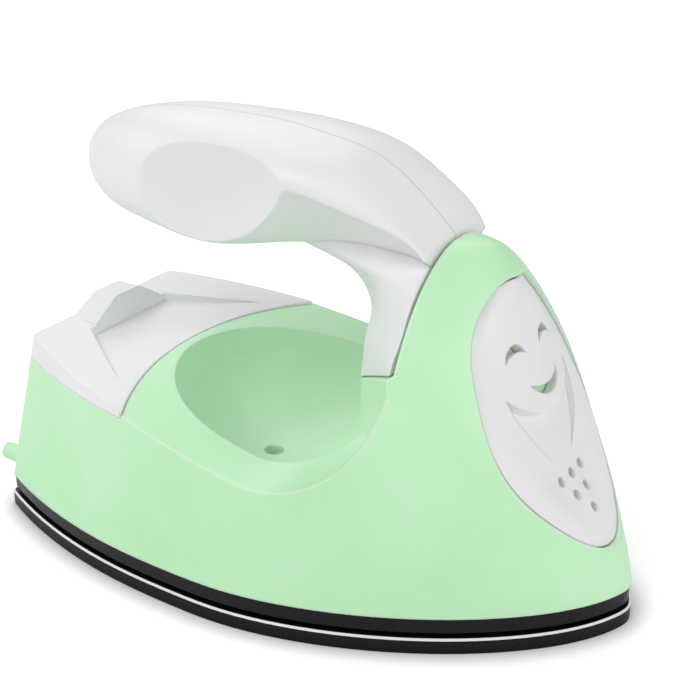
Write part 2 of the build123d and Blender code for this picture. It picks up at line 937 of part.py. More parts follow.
def save(piece, name):
    piece.part.label = name
    export_step(piece.part, f"parts/{name}.step")
    print(name, round(piece.part.volume, 1))


os.makedirs("parts", exist_ok=True)

housing_boss_places = ((heel_boss_x, -heel_boss_place), (heel_boss_x, heel_boss_place), (bowl_hole_x, 0))
sole_screw_places = (
    (heel_x + sole_screw_setback, -sole_screw_place),
    (heel_x + sole_screw_setback, sole_screw_place),
    (nose_x - nose_screw_setback, -nose_screw_place),
    (nose_x - nose_screw_setback, nose_screw_place),
)
scoop_x = nose_x - scoop_setback
scoop_centres = [(scoop_x, side * (scoop_half + scoop_radius), scoop_height) for side in (-1, 1)]
grip_screw_places = [(grip_x + grip_length * share, 0, grip_screw_height) for share in grip_screw_shares]
clamp_screw_places = ((heater_x, -clamp_screw_place), (heater_x, clamp_screw_place))
clamp_bar_places = ((clamp_bar_x, -clamp_bar_place), (clamp_bar_x, clamp_bar_place))
foot_screw_places = ((foot_screw_x, -foot_screw_place), (foot_screw_x, foot_screw_place))
clip_inner = fuse_diameter / 2 + sleeve_wall + thread_gap
clip_screw_place = fuse_place + clip_inner + clip_thickness + fit_gap + small_head / 2
pilot_depth = sole_thickness * pilot_share
foot_bite = foot_seat_drop + foot_screw_bite - fit_gap
grip_bite = grip_screw_seat + grip_screw_bite
heater_top = skirt_base + heater_height
fuse_x = nose_x - fuse_setback
fuse_height = skirt_base + fuse_diameter / 2 + sleeve_wall
vent_places = [(vent_along + row * vent_pitch, (column - (2 - row) / 2) * vent_spread)
               for row in range(3) for column in range(3 - row)]
pad_height = groove_height

# Soleplate
with BuildPart() as soleplate:
    add(base_plan(0, 0))
    extrude(amount=sole_thickness)
    chamfer(soleplate.edges().group_by(Axis.Z)[-1], length=sole_edge)
    with BuildSketch(Plane.XY.offset(sole_thickness)):
        with Locations((heater_x, 0)):
            RectangleRounded(pad_length, pad_width, pad_corner)
    extrude(amount=pad_height)
    with Locations(*[(x, y, sole_thickness) for x, y in sole_screw_places]):
        Cylinder(screw_shank / 2 + thread_gap, pilot_depth, mode=Mode.SUBTRACT,
                 align=(Align.CENTER, Align.CENTER, Align.MAX))
    with Locations(*[(x, y, skirt_base) for x, y in clamp_screw_places],
                   (fuse_x, clip_screw_place, skirt_base)):
        Cylinder(small_shank / 2 + thread_gap, pad_height + pilot_depth, mode=Mode.SUBTRACT,
                 align=(Align.CENTER, Align.CENTER, Align.MAX))
save(soleplate, "soleplate")

# Skirt
with BuildPart() as base_skirt:
    add(base_plan(sole_thickness, groove_depth))
    extrude(amount=skirt_floor)
    add(base_plan(skirt_base, skirt_inset))
    extrude(amount=skirt_height)
    add(base_plan(sole_thickness + skirt_floor, skirt_inset + skirt_wall))
    extrude(amount=overrun, mode=Mode.SUBTRACT)
    with BuildSketch(Plane.XY):
        with Locations((heater_x, 0)):
            RectangleRounded(pad_length + 2 * pad_gap, pad_width + 2 * pad_gap, pad_corner + pad_gap)
    extrude(amount=overrun, mode=Mode.SUBTRACT)
    with Locations(*[(x, y, sole_thickness) for x, y in housing_boss_places]):
        Cylinder(boss_diameter / 2, shell_base - sole_thickness,
                 align=(Align.CENTER, Align.CENTER, Align.MIN))
    with Locations(*[(x, y, shell_base) for x, y in housing_boss_places]):
        Cylinder(screw_shank / 2 + thread_gap, shell_base - skirt_base, mode=Mode.SUBTRACT,
                 align=(Align.CENTER, Align.CENTER, Align.MAX))
    with Locations(*[(x, y, 0) for x, y in sole_screw_places]):
        Cylinder(screw_shank / 2 + shank_gap, overrun, mode=Mode.SUBTRACT)
save(base_skirt, "base_skirt")

# Housing
with BuildPart() as main_housing:
    add(shell_form(0))
    add(deck_form(0), mode=Mode.INTERSECT)
    add(bowl_form(0), mode=Mode.SUBTRACT)
    add(post_block())
    add(housing_room(), mode=Mode.SUBTRACT)
    add(plate_prism(-pocket_depth, overrun, 0), mode=Mode.SUBTRACT)
    add(plate_hollow(fit_gap))
    add(cover_recess(fit_gap, 0), mode=Mode.SUBTRACT)
    with Locations((bowl_hole_x, 0, bowl_bottom + bowl_top)):
        Cylinder(bowl_hole / 2, bowl_bottom + bowl_top - shell_base - boss_floor, mode=Mode.SUBTRACT,
                 align=(Align.CENTER, Align.CENTER, Align.MAX))
    with Locations(*[(x, y, shell_base + boss_height) for x, y in housing_boss_places]):
        Cylinder(screw_shank / 2 + shank_gap, boss_height, mode=Mode.SUBTRACT,
                 align=(Align.CENTER, Align.CENTER, Align.MAX))
    with Locations(*[(x, y, shell_base + boss_floor) for x, y in housing_boss_places[:2]]):
        Cylinder(boss_bore / 2, boss_height, mode=Mode.SUBTRACT,
                 align=(Align.CENTER, Align.CENTER, Align.MIN))
    with Locations(*[(x, y, post_line(x, 0)) for x, y in foot_screw_places]):
        Cylinder(screw_shank / 2 + shank_gap, overrun / 4, mode=Mode.SUBTRACT)
    with BuildSketch(plate_plane.offset(-pocket_depth - 2 * wall)):
        with Locations(*[(along, 0) for along in plate_peg_alongs]):
            Circle(plate_peg / 2 + fit_gap)
    extrude(amount=2 * wall + pocket_depth, mode=Mode.SUBTRACT)
    for y in (-peg_place, peg_place):
        add(heel_peg(y))
save(main_housing, "main_housing")

# Rear cover
with BuildPart() as rear_cover:
    add(shell_form(0))
    add(cover_recess(0, 0), mode=Mode.INTERSECT)
    add(cover_top_form(), mode=Mode.INTERSECT)
    add(cover_lip_form())
    with BuildSketch(Plane.XZ):
        with BuildLine():
            Polyline((heel_line(0) + cover_wall, 0), (heel_line(pocket_top) + cover_wall, pocket_top),
                     (hump_x - cover_wall, pocket_top), (hump_x - cover_wall, 0), close=True)
        make_face()
    extrude(amount=pocket_half, both=True, mode=Mode.SUBTRACT)
    with Locations(inlet_plane):
        Cylinder(inlet_outer / 2 + fit_gap / 3, 3 * cover_wall, mode=Mode.SUBTRACT)
    with Locations(*[(x, y, seat_line(x)) for x, y in clamp_bar_places]):
        Cylinder(small_shank / 2 + thread_gap, 2 * clamp_bar_bite, mode=Mode.SUBTRACT)
save(rear_cover, "rear_cover")

# Face plate
with BuildPart() as face_plate:
    add(plate_prism(fit_gap - pocket_depth, overrun / 4, -plate_gap))
    add(plate_face_form(0), mode=Mode.INTERSECT)
    add(dent_form(0), mode=Mode.SUBTRACT)
    add(plate_hollow(0), mode=Mode.SUBTRACT)
    for side in (-eye_place, eye_place):
        add(crescent(side, eye_half, eye_along, eye_rise, slot_width), mode=Mode.SUBTRACT)
    add(crescent(0, smile_half, smile_along, -smile_drop, smile_width), mode=Mode.SUBTRACT)
    with BuildSketch(plate_plane.offset(-pocket_depth)):
        with Locations(*vent_places):
            Circle(vent_hole / 2)
    extrude(amount=2 * pocket_depth, mode=Mode.SUBTRACT)
    with BuildSketch(plate_plane.offset(-pocket_depth - plate_peg_length)):
        with Locations(*[(along, 0) for along in plate_peg_alongs]):
            Circle(plate_peg / 2)
    extrude(amount=plate_peg_length + pocket_depth - plate_skin / 4)
save(face_plate, "face_plate")

# Handle, parted along its middle
with BuildPart() as handle:
    add(handle_form())
    add(handle_room(grip_form(grip_wall)), mode=Mode.SUBTRACT)
    add(handle_room(foot_form(grip_wall)), mode=Mode.SUBTRACT)
    for x, y in foot_screw_places:
        seat = facing_down(x, y, post_line(x, -foot_seat_drop))
        add(screw_hole(seat, foot_bite, screw_shank, screw_head), mode=Mode.SUBTRACT)
    for place in grip_screw_places:
        add(screw_hole(facing_left(place), grip_bite, screw_shank, screw_head), mode=Mode.SUBTRACT)

with BuildPart() as handle_right:
    add(handle.part)
    split(bisect_by=Plane.XZ.offset(seam_gap / 2), keep=Keep.TOP)
save(handle_right, "handle_right")

with BuildPart() as handle_left:
    add(handle.part)
    split(bisect_by=Plane.XZ.offset(-seam_gap / 2), keep=Keep.BOTTOM)
save(handle_left, "handle_left")

# Heater and what holds it
block_base = sole_thickness + skirt_floor
shield_inner_half = shield_width / 2 - shield_flange - shield_thickness
shield_top = heater_top + mica_thickness + clamp_thickness + shield_gap
with BuildPart() as ptc_heater:
    with Locations((heater_x, 0, skirt_base)):
        Box(heater_length, heater_width, heater_height, align=(Align.CENTER, Align.CENTER, Align.MIN))
    fillet(ptc_heater.edges().filter_by(Axis.Z), radius=heater_height / 8)
save(ptc_heater, "ptc_heater")

with BuildPart() as mica_sheet:
    with Locations((heater_x, 0, heater_top)):
        Box(heater_length - mica_margin, heater_width - mica_margin, mica_thickness,
            align=(Align.CENTER, Align.CENTER, Align.MIN))
save(mica_sheet, "mica_sheet")

with BuildPart() as heater_clamp:
    add(strap(across(heater_x, skirt_base), clamp_width,
              heater_width / 2 + fit_gap, heater_height + mica_thickness, clamp_span / 2,
              clamp_thickness))
    with Locations(*[(x, y, skirt_base) for x, y in clamp_screw_places]):
        Cylinder(small_shank / 2 + shank_gap, overrun, mode=Mode.SUBTRACT)
save(heater_clamp, "heater_clamp")

with BuildPart() as heat_shield:
    add(strap(across(heater_x, block_base), shield_length, shield_inner_half,
              shield_top - block_base, shield_width / 2, shield_thickness))
    fillet(heat_shield.edges().filter_by(Axis.X).group_by(Axis.Z)[-1], radius=shield_thickness / 2)
save(heat_shield, "heat_shield")

# Thermal fuse beside the heater
fuse_line = Plane(origin=(fuse_x, fuse_place, fuse_height), z_dir=(1, 0, 0))
with BuildPart(fuse_line) as thermal_fuse:
    Cylinder(fuse_diameter / 2, fuse_length)
    chamfer(thermal_fuse.edges().filter_by(GeomType.CIRCLE), length=fuse_diameter / 8)
save(thermal_fuse, "thermal_fuse")

with BuildPart(fuse_line) as fuse_sleeve:
    Cylinder(fuse_diameter / 2 + sleeve_wall, fuse_length - sleeve_wall)
    Cylinder(fuse_diameter / 2 + thread_gap, fuse_length, mode=Mode.SUBTRACT)
save(fuse_sleeve, "fuse_sleeve")

with BuildPart() as fuse_clip:
    with BuildSketch(Plane.YZ.offset(fuse_x)):
        with Locations((fuse_place, fuse_height)):
            Circle(clip_inner + clip_thickness)
        with Locations((fuse_place, skirt_base)):
            Rectangle(clip_screw_place - fuse_place + small_head / 2, clip_thickness,
                      align=(Align.MIN, Align.MIN))
        with Locations((fuse_place, fuse_height)):
            Circle(clip_inner, mode=Mode.SUBTRACT)
        with Locations((fuse_place, skirt_base)):
            Rectangle(4 * clip_inner, 4 * clip_inner, align=(Align.CENTER, Align.MAX), mode=Mode.SUBTRACT)
    extrude(amount=clip_width / 2, both=True)
    with Locations((fuse_x, clip_screw_place, skirt_base)):
        Cylinder(small_shank / 2 + shank_gap, overrun, mode=Mode.SUBTRACT)
save(fuse_clip, "fuse_clip")

# Terminal block and leads
block_half = block_length / 2
with BuildPart() as terminal_block:
    with Locations((block_x, 0, block_base)):
        Box(block_length, block_width, block_height, align=(Align.CENTER, Align.CENTER, Align.MIN))
    fillet(terminal_block.edges().filter_by(Axis.Z), radius=block_half / 5)
    with Locations(*[(block_x, y, block_base + block_height) for y in (-block_pitch / 2, block_pitch / 2)]):
        Cylinder(block_well / 2, block_height / 3, mode=Mode.SUBTRACT,
                 align=(Align.CENTER, Align.CENTER, Align.MAX))
        Cylinder(small_shank / 2 + thread_gap, 2 * block_height / 3, mode=Mode.SUBTRACT,
                 align=(Align.CENTER, Align.CENTER, Align.MAX))
save(terminal_block, "terminal_block")

block_face = block_x + block_half
with BuildPart() as fuse_lead:
    add(lead([(block_face, block_pitch / 2, fuse_height),
              (block_face + lead_run, block_pitch / 2, fuse_height),
              (bowl_hole_x - lead_run / 2, fuse_place, fuse_height),
              (fuse_x - fuse_length / 2, fuse_place, fuse_height)], lead_bend))
save(fuse_lead, "fuse_lead")

with BuildPart() as heater_lead:
    add(lead([(fuse_x + fuse_length / 2, fuse_place, fuse_height),
              (heater_x + heater_length / 2 + lead_loop, fuse_place, fuse_height),
              (heater_x + heater_length / 2 + lead_loop, lead_side, fuse_height),
              (heater_x + heater_length / 2, lead_side, fuse_height)], lead_short_bend))
save(heater_lead, "heater_lead")

with BuildPart() as return_lead:
    add(lead([(block_face, -block_pitch / 2, fuse_height),
              (block_face + lead_run, -block_pitch / 2, fuse_height),
              (bowl_hole_x, -lead_side, fuse_height),
              (heater_x - heater_length / 2, -lead_side, fuse_height)], lead_bend))
save(return_lead, "return_lead")

# Cord inlet and clamp
with BuildPart(inlet_plane) as cord_inlet:
    with Locations((0, 0, fit_gap / 3)):
        Cylinder(inlet_flange / 2, inlet_flange_thickness, align=(Align.CENTER, Align.CENTER, Align.MIN))
    with Locations((0, 0, -cover_wall - fit_gap)):
        Cylinder(inlet_flange / 2, inlet_flange_thickness, align=(Align.CENTER, Align.CENTER, Align.MAX))
    Cylinder(inlet_outer / 2, 2 * (cover_wall + fit_gap))
    Cylinder(inlet_bore / 2, overrun, mode=Mode.SUBTRACT)
save(cord_inlet, "cord_inlet")

clamp_bar_top = seat_line(clamp_bar_x) - fit_gap
with BuildPart() as cord_clamp:
    with Locations((clamp_bar_x, 0, clamp_bar_top)):
        Box(clamp_bar_length, clamp_bar_width, clamp_bar_height,
            align=(Align.CENTER, Align.CENTER, Align.MAX))
    fillet(cord_clamp.edges().filter_by(Axis.Z), radius=clamp_bar_length / 5)
    with Locations(*[(x, y, clamp_bar_top) for x, y in clamp_bar_places]):
        Cylinder(small_shank / 2 + shank_gap, overrun, mode=Mode.SUBTRACT)
    with Locations(Plane(origin=(clamp_bar_x, 0, clamp_bar_top + inlet_bore / 3), z_dir=(1, 0, 0))):
        Cylinder(inlet_bore / 2, overrun, mode=Mode.SUBTRACT)
save(cord_clamp, "cord_clamp")

# Fasteners, each kind in one node
with BuildPart() as sole_screws:
    for x, y in sole_screw_places:
        add(screw(facing_up(x, y, sole_thickness + skirt_floor), skirt_floor + pilot_depth - fit_gap,
                  screw_shank, screw_head, screw_head_height))
save(sole_screws, "sole_screws")

with BuildPart() as housing_screws:
    for x, y in housing_boss_places:
        add(screw(facing_up(x, y, shell_base + boss_floor), boss_floor + skirt_height - fit_gap,
                  screw_shank, screw_head, screw_head_height))
save(housing_screws, "housing_screws")

with BuildPart() as heater_clamp_screws:
    for x, y in clamp_screw_places:
        add(screw(facing_up(x, y, skirt_base + clamp_thickness),
                  clamp_thickness + pad_height + pilot_depth - fit_gap,
                  small_shank, small_head, small_head_height))
save(heater_clamp_screws, "heater_clamp_screws")

with BuildPart() as fuse_clip_screw:
    add(screw(facing_up(fuse_x, clip_screw_place, skirt_base + clip_thickness),
              clip_thickness + pad_height + pilot_depth - fit_gap,
              small_shank, small_head, small_head_height))
save(fuse_clip_screw, "fuse_clip_screw")

with BuildPart() as terminal_screws:
    for y in (-block_pitch / 2, block_pitch / 2):
        add(screw(facing_up(block_x, y, block_base + 2 * block_height / 3), block_height / 4,
                  small_shank, small_head, small_head_height))
save(terminal_screws, "terminal_screws")

with BuildPart() as cord_clamp_screws:
    for x, y in clamp_bar_places:
        add(screw(facing_down(x, y, clamp_bar_top - clamp_bar_height),
                  clamp_bar_height + clamp_bar_bite, small_shank, small_head, small_head_height))
save(cord_clamp_screws, "cord_clamp_screws")

with BuildPart() as foot_screws:
    for x, y in foot_screw_places:
        add(screw(facing_down(x, y, post_line(x, -foot_seat_drop)), foot_bite,
                  screw_shank, screw_head, screw_head_height))
save(foot_screws, "foot_screws")

with BuildPart() as grip_screws:
    for place in grip_screw_places:
        add(screw(facing_left(place), grip_bite, screw_shank, screw_head, screw_head_height))
save(grip_screws, "grip_screws")
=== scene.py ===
import json
import math

import bpy
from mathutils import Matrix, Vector


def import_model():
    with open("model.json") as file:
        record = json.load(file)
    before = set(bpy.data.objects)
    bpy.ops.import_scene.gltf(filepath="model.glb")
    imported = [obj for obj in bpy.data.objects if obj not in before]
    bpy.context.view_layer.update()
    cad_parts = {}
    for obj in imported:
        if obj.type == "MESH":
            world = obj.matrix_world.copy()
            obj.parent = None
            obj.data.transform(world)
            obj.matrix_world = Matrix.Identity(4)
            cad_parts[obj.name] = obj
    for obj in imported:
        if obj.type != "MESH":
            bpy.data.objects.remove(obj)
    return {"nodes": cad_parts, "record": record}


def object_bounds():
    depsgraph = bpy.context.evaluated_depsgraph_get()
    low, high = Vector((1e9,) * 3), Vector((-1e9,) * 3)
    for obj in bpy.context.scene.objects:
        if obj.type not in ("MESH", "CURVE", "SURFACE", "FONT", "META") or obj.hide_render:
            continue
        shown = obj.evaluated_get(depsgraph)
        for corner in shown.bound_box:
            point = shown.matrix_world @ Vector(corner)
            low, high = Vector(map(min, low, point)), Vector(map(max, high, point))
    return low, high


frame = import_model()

# Mini craft iron on a plain white ground, seen from its near front side. Metres, +Z up, nose towards +X.
cad_low, cad_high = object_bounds()
nodes = frame["nodes"]
MM = 0.001

# Camera, solved from the sole's outline
CAMERA_AZIMUTH = math.radians(31.145)
CAMERA_ELEVATION = math.radians(22.859)
CAMERA_DISTANCE = 222.752 * MM
CAMERA_TARGET = Vector((3.383 * MM, 0.0, 36.991 * MM))
CLIP_START = CAMERA_DISTANCE / 20
CLIP_END = CAMERA_DISTANCE * 200
FOCAL_PIXELS = 1337.417
IMAGE_WIDTH = 679
SENSOR = 36.0

# Colours, linear
MINT = (0.51, 0.87, 0.52, 1)
MINT_PALE = (0.57, 0.90, 0.58, 1)
# Painted highlight on rounded edges and painted light in hollows, green plastic
MINT_PAINTED_LIGHT = (0.86, 0.99, 0.87, 1)
WHITE = (0.80, 0.80, 0.81, 1)
WHITE_PALE = (0.84, 0.84, 0.85, 1)
# Painted highlight on rounded edges and painted light in hollows, white plastic
WHITE_PAINTED_LIGHT = (0.93, 0.93, 0.94, 1)
SKIRT_BLACK = (0.003, 0.003, 0.0033, 1)
SKIRT_PALE = (0.006, 0.006, 0.0065, 1)
SOLE_BLACK = (0.004, 0.0037, 0.004, 1)
SOLE_PALE = (0.008, 0.0075, 0.008, 1)
# Painted highlight on the sole's upper chamfer
SOLE_PAINTED_HIGHLIGHT = (0.82, 0.82, 0.83, 1)
STEEL = (0.52, 0.52, 0.53, 1)
ALUMINIUM = (0.66, 0.66, 0.67, 1)
MICA = (0.50, 0.42, 0.28, 1)
CERAMIC = (0.74, 0.72, 0.67, 1)
SILICONE = (0.66, 0.65, 0.61, 1)
FIBRE = (0.72, 0.69, 0.60, 1)
NYLON = (0.70, 0.70, 0.69, 1)
NYLON_PALE = (0.78, 0.78, 0.77, 1)
PAPER = (0.93, 0.93, 0.93, 1)
PLAIN_WHITE = (1, 1, 1, 1)
METAL_DULL = 0.8
SOFT_DULL = 0.75

# Rounded edges: radius in metres, and the cosines between which an edge is painted pale as a highlight
BEVEL_SAMPLES = 6
SHELL_RADIUS = 0.6 * MM
COAT_RADIUS = 0.25 * MM
SMALL_RADIUS = 0.2 * MM
FINE_RADIUS = 0.1 * MM
PAINTED_HIGHLIGHT_START = 0.995
PAINTED_HIGHLIGHT_FULL = 0.9

# Painted light in hollows: reach in metres, and the openness between which the plastic is painted paler
OPENNESS_SAMPLES = 8
PAINTED_HOLLOW_LIGHT_REACH = 25 * MM
PAINTED_HOLLOW_LIGHT_START = 0.92
PAINTED_HOLLOW_LIGHT_FULL = 0.6
PAINTED_HOLLOW_LIGHT_SHARE = 0.6

# Grain and mottling: noise scales per metre, noise detail, and relief in metres
NOISE_LOW = 0.3
NOISE_HIGH = 0.7
MOTTLE_SCALE = 60
MOTTLE_DETAIL = 3
MOULD_SCALE = 9000
MOULD_DETAIL = 2
SPECKLE_LOW = 0.35
SPECKLE_HIGH = 0.75
SPECKLE_DETAIL = 4
ROLLED_SCALE = 400
ROLLED_DETAIL = 4
SOFT_DETAIL = 5
GRAIN_HEIGHT = 0.02 * MM
SOFT_HEIGHT = 0.05 * MM

# Shaders
PLASTIC_IOR = 1.46
COAT_SPECULAR = 0.22
CHAMFER_RISE = math.sqrt(0.5)
CHAMFER_SPREAD = 0.15

# Ground, in metres and light strength
WORLD_STRENGTH = 0.53
FLOOR_REACH = 40
FLOOR_DROP = 0.02 * MM
FLOOR_ROUGHNESS = 0.6
# Reach of the painted contact shadow on the floor
PAINTED_SHADOW_REACH = 5 * MM
NEAR_DISTANCE = 0.12
FAR_DISTANCE = 0.4
NEAR_GLOW = 0.36
FAR_GLOW = 0.7

# Soft square lamps: name, place and width in metres, watts
LAMPS = (
    ("key", (-0.2, -0.42, 0.62), 0.4, 1.7),
    ("back", (-0.4, 0.5, 0.5), 0.4, 0.8),
    ("heel", (-0.62, -0.08, 0.36), 0.35, 0.45),
    ("fill", (-0.55, -0.35, 0.3), 0.4, 0.25),
    ("front", (0.6, -0.08, 0.3), 0.4, 1.2),
)


def camera():
    """The photograph's camera."""
    cosine = math.cos(CAMERA_ELEVATION)
    forward = Vector((-math.sin(CAMERA_AZIMUTH) * cosine, math.cos(CAMERA_AZIMUTH) * cosine,
                      -math.sin(CAMERA_ELEVATION)))
    data = bpy.data.cameras.new("camera")
    data.sensor_width = SENSOR
    data.lens = FOCAL_PIXELS / IMAGE_WIDTH * SENSOR
    data.clip_start = CLIP_START
    data.clip_end = CLIP_END
    eye = bpy.data.objects.new("camera", data)
    eye.location = CAMERA_TARGET - forward * CAMERA_DISTANCE
    eye.rotation_mode = "QUATERNION"
    eye.rotation_quaternion = forward.to_track_quat("-Z", "Y")
    bpy.context.collection.objects.link(eye)
    bpy.context.scene.camera = eye


def lamp(name, place, size, power):
    """A soft square lamp that looks at the middle of the iron."""
    data = bpy.data.lights.new(name, "AREA")
    data.shape = "SQUARE"
    data.size = size
    data.energy = power
    item = bpy.data.objects.new(name, data)
    item.location = place
    aim = (cad_low + cad_high) / 2 - item.location
    item.rotation_mode = "QUATERNION"
    item.rotation_quaternion = aim.to_track_quat("-Z", "Y")
    bpy.context.collection.objects.link(item)


def material(name):
    """A new node material, with its tree and its shader."""
    item = bpy.data.materials.new(name)
    item.use_nodes = True
    tree = item.node_tree
    return item, tree, tree.nodes["Principled BSDF"]


def mix_colour(tree, factor, first, second):
    """A colour between two colours, of which the first may come from another node."""
    mix = tree.nodes.new("ShaderNodeMix")
    mix.data_type = "RGBA"
    tree.links.new(factor, mix.inputs["Factor"])
    if isinstance(first, tuple):
        mix.inputs["A"].default_value = first
    else:
        tree.links.new(first, mix.inputs["A"])
    mix.inputs["B"].default_value = second
    return mix.outputs["Result"]


def darker(colour, share):
    """A share of a colour."""
    return tuple(share * part for part in colour[:3]) + (1,)


def noise(tree, scale, detail, stretch=1):
    """Noise in the iron's own metres, drawn out along X where it has a stretch."""
    vector = tree.nodes.new("ShaderNodeTexCoord").outputs["Object"]
    if stretch != 1:
        mapping = tree.nodes.new("ShaderNodeMapping")
        mapping.inputs["Scale"].default_value = (1, stretch, stretch)
        tree.links.new(vector, mapping.inputs["Vector"])
        vector = mapping.outputs["Vector"]
    texture = tree.nodes.new("ShaderNodeTexNoise")
    texture.inputs["Scale"].default_value = scale
    texture.inputs["Detail"].default_value = detail
    tree.links.new(vector, texture.inputs["Vector"])
    return texture.outputs["Fac"]


def ramp(tree, value, low, high, out_low, out_high):
    """A value moved from one range to another."""
    item = tree.nodes.new("ShaderNodeMapRange")
    item.inputs["From Min"].default_value = low
    item.inputs["From Max"].default_value = high
    item.inputs["To Min"].default_value = out_low
    item.inputs["To Max"].default_value = out_high
    tree.links.new(value, item.inputs["Value"])
    return item.outputs["Result"]


def bevel_normal(tree, radius):
    """The normal of edges rounded to a radius."""
    item = tree.nodes.new("ShaderNodeBevel")
    item.samples = BEVEL_SAMPLES
    item.inputs["Radius"].default_value = radius
    return item.outputs["Normal"]


def painted_highlight_share(tree, normal):
    """How far a rounded edge's normal leans from the face's own, used to paint a highlight along the
    edge.
    """
    geometry = tree.nodes.new("ShaderNodeNewGeometry")
    dot = tree.nodes.new("ShaderNodeVectorMath")
    dot.operation = "DOT_PRODUCT"
    tree.links.new(normal, dot.inputs[0])
    tree.links.new(geometry.outputs["Normal"], dot.inputs[1])
    return ramp(tree, dot.outputs["Value"], PAINTED_HIGHLIGHT_START, PAINTED_HIGHLIGHT_FULL, 0.0, 1.0)


def openness(tree, reach):
    """The node that tells how open a place is within a reach."""
    item = tree.nodes.new("ShaderNodeAmbientOcclusion")
    item.samples = OPENNESS_SAMPLES
    item.inputs["Distance"].default_value = reach
    return item


def painted_hollow_light_share(tree):
    """How far a place lies in a hollow of its own piece, where the plastic is painted paler as light."""
    item = openness(tree, PAINTED_HOLLOW_LIGHT_REACH)
    item.only_local = True
    return ramp(tree, item.outputs["AO"], PAINTED_HOLLOW_LIGHT_START, PAINTED_HOLLOW_LIGHT_FULL, 0.0, PAINTED_HOLLOW_LIGHT_SHARE)


def chamfer_highlight_share(tree):
    """One on faces that slope up at about half a right angle, such as the sole's upper chamfer, where a
    highlight is painted.
    """
    geometry = tree.nodes.new("ShaderNodeNewGeometry")
    parts = tree.nodes.new("ShaderNodeSeparateXYZ")
    tree.links.new(geometry.outputs["True Normal"], parts.inputs["Vector"])
    compare = tree.nodes.new("ShaderNodeMath")
    compare.operation = "COMPARE"
    tree.links.new(parts.outputs["Z"], compare.inputs[0])
    compare.inputs[1].default_value = CHAMFER_RISE
    compare.inputs[2].default_value = CHAMFER_SPREAD
    return compare.outputs["Value"]


def surface(tree, shader, grain, roughness, spread, strength, height, normal):
    """A roughness that varies with the grain, and the grain as fine relief on a normal."""
    rough = ramp(tree, grain, NOISE_LOW, NOISE_HIGH, roughness - spread, roughness + spread)
    tree.links.new(rough, shader.inputs["Roughness"])
    relief = tree.nodes.new("ShaderNodeBump")
    relief.inputs["Strength"].default_value = strength
    relief.inputs["Distance"].default_value = height
    tree.links.new(grain, relief.inputs["Height"])
    tree.links.new(normal, relief.inputs["Normal"])
    tree.links.new(relief.outputs["Normal"], shader.inputs["Normal"])


def moulded(name, colour, pale, painted_light_colour, roughness, radius):
    """Moulded plastic: faint mottling, fine texture, painted light in its hollows and a painted highlight
    along its rounded edges.
    """
    item, tree, shader = material(name)
    normal = bevel_normal(tree, radius)
    mottle = ramp(tree, noise(tree, MOTTLE_SCALE, MOTTLE_DETAIL), NOISE_LOW, NOISE_HIGH, 0.0, 1.0)
    mottled = mix_colour(tree, mottle, colour, pale)
    # Painted light: paler colour in hollows
    hollow_lightened = mix_colour(tree, painted_hollow_light_share(tree), mottled, painted_light_colour)
    # Painted highlight: paler colour along rounded edges
    edge_highlighted = mix_colour(tree, painted_highlight_share(tree, normal), hollow_lightened, painted_light_colour)
    tree.links.new(edge_highlighted, shader.inputs["Base Color"])
    grain = noise(tree, MOULD_SCALE, MOULD_DETAIL)
    surface(tree, shader, grain, roughness, 0.03, 0.12, GRAIN_HEIGHT, normal)
    shader.inputs["IOR"].default_value = PLASTIC_IOR
    return item


def coated(name, colour, pale, roughness, scale, painted_light_colour=None):
    """Black moulding or a non-stick coat with a fine speckle, and a painted highlight along its upper
    chamfer where a colour for it is given.
    """
    item, tree, shader = material(name)
    grain = noise(tree, scale, SPECKLE_DETAIL)
    speckle = ramp(tree, grain, SPECKLE_LOW, SPECKLE_HIGH, 0.0, 1.0)
    coat = mix_colour(tree, speckle, colour, pale)
    if painted_light_colour:
        # Painted highlight: near-white colour on the upper chamfer
        coat = mix_colour(tree, chamfer_highlight_share(tree), coat, painted_light_colour)
    tree.links.new(coat, shader.inputs["Base Color"])
    shader.inputs["Specular IOR Level"].default_value = COAT_SPECULAR
    surface(tree, shader, grain, roughness, 0.05, 0.15, GRAIN_HEIGHT, bevel_normal(tree, COAT_RADIUS))
    return item


def metal(name, colour, roughness, stretch):
    """Brushed or rolled sheet metal."""
    item, tree, shader = material(name)
    grain = noise(tree, ROLLED_SCALE, ROLLED_DETAIL, stretch)
    tint = mix_colour(tree, grain, colour, darker(colour, METAL_DULL))
    tree.links.new(tint, shader.inputs["Base Color"])
    surface(tree, shader, grain, roughness, 0.06, 0.1, GRAIN_HEIGHT, bevel_normal(tree, FINE_RADIUS))
    shader.inputs["Metallic"].default_value = 1.0
    return item


def soft_stuff(name, colour, roughness, scale):
    """Mica, fibre, ceramic and silicone: mottled and dull."""
    item, tree, shader = material(name)
    grain = noise(tree, scale, SOFT_DETAIL)
    tint = mix_colour(tree, grain, colour, darker(colour, SOFT_DULL))
    tree.links.new(tint, shader.inputs["Base Color"])
    surface(tree, shader, grain, roughness, 0.08, 0.3, SOFT_HEIGHT, bevel_normal(tree, FINE_RADIUS))
    return item


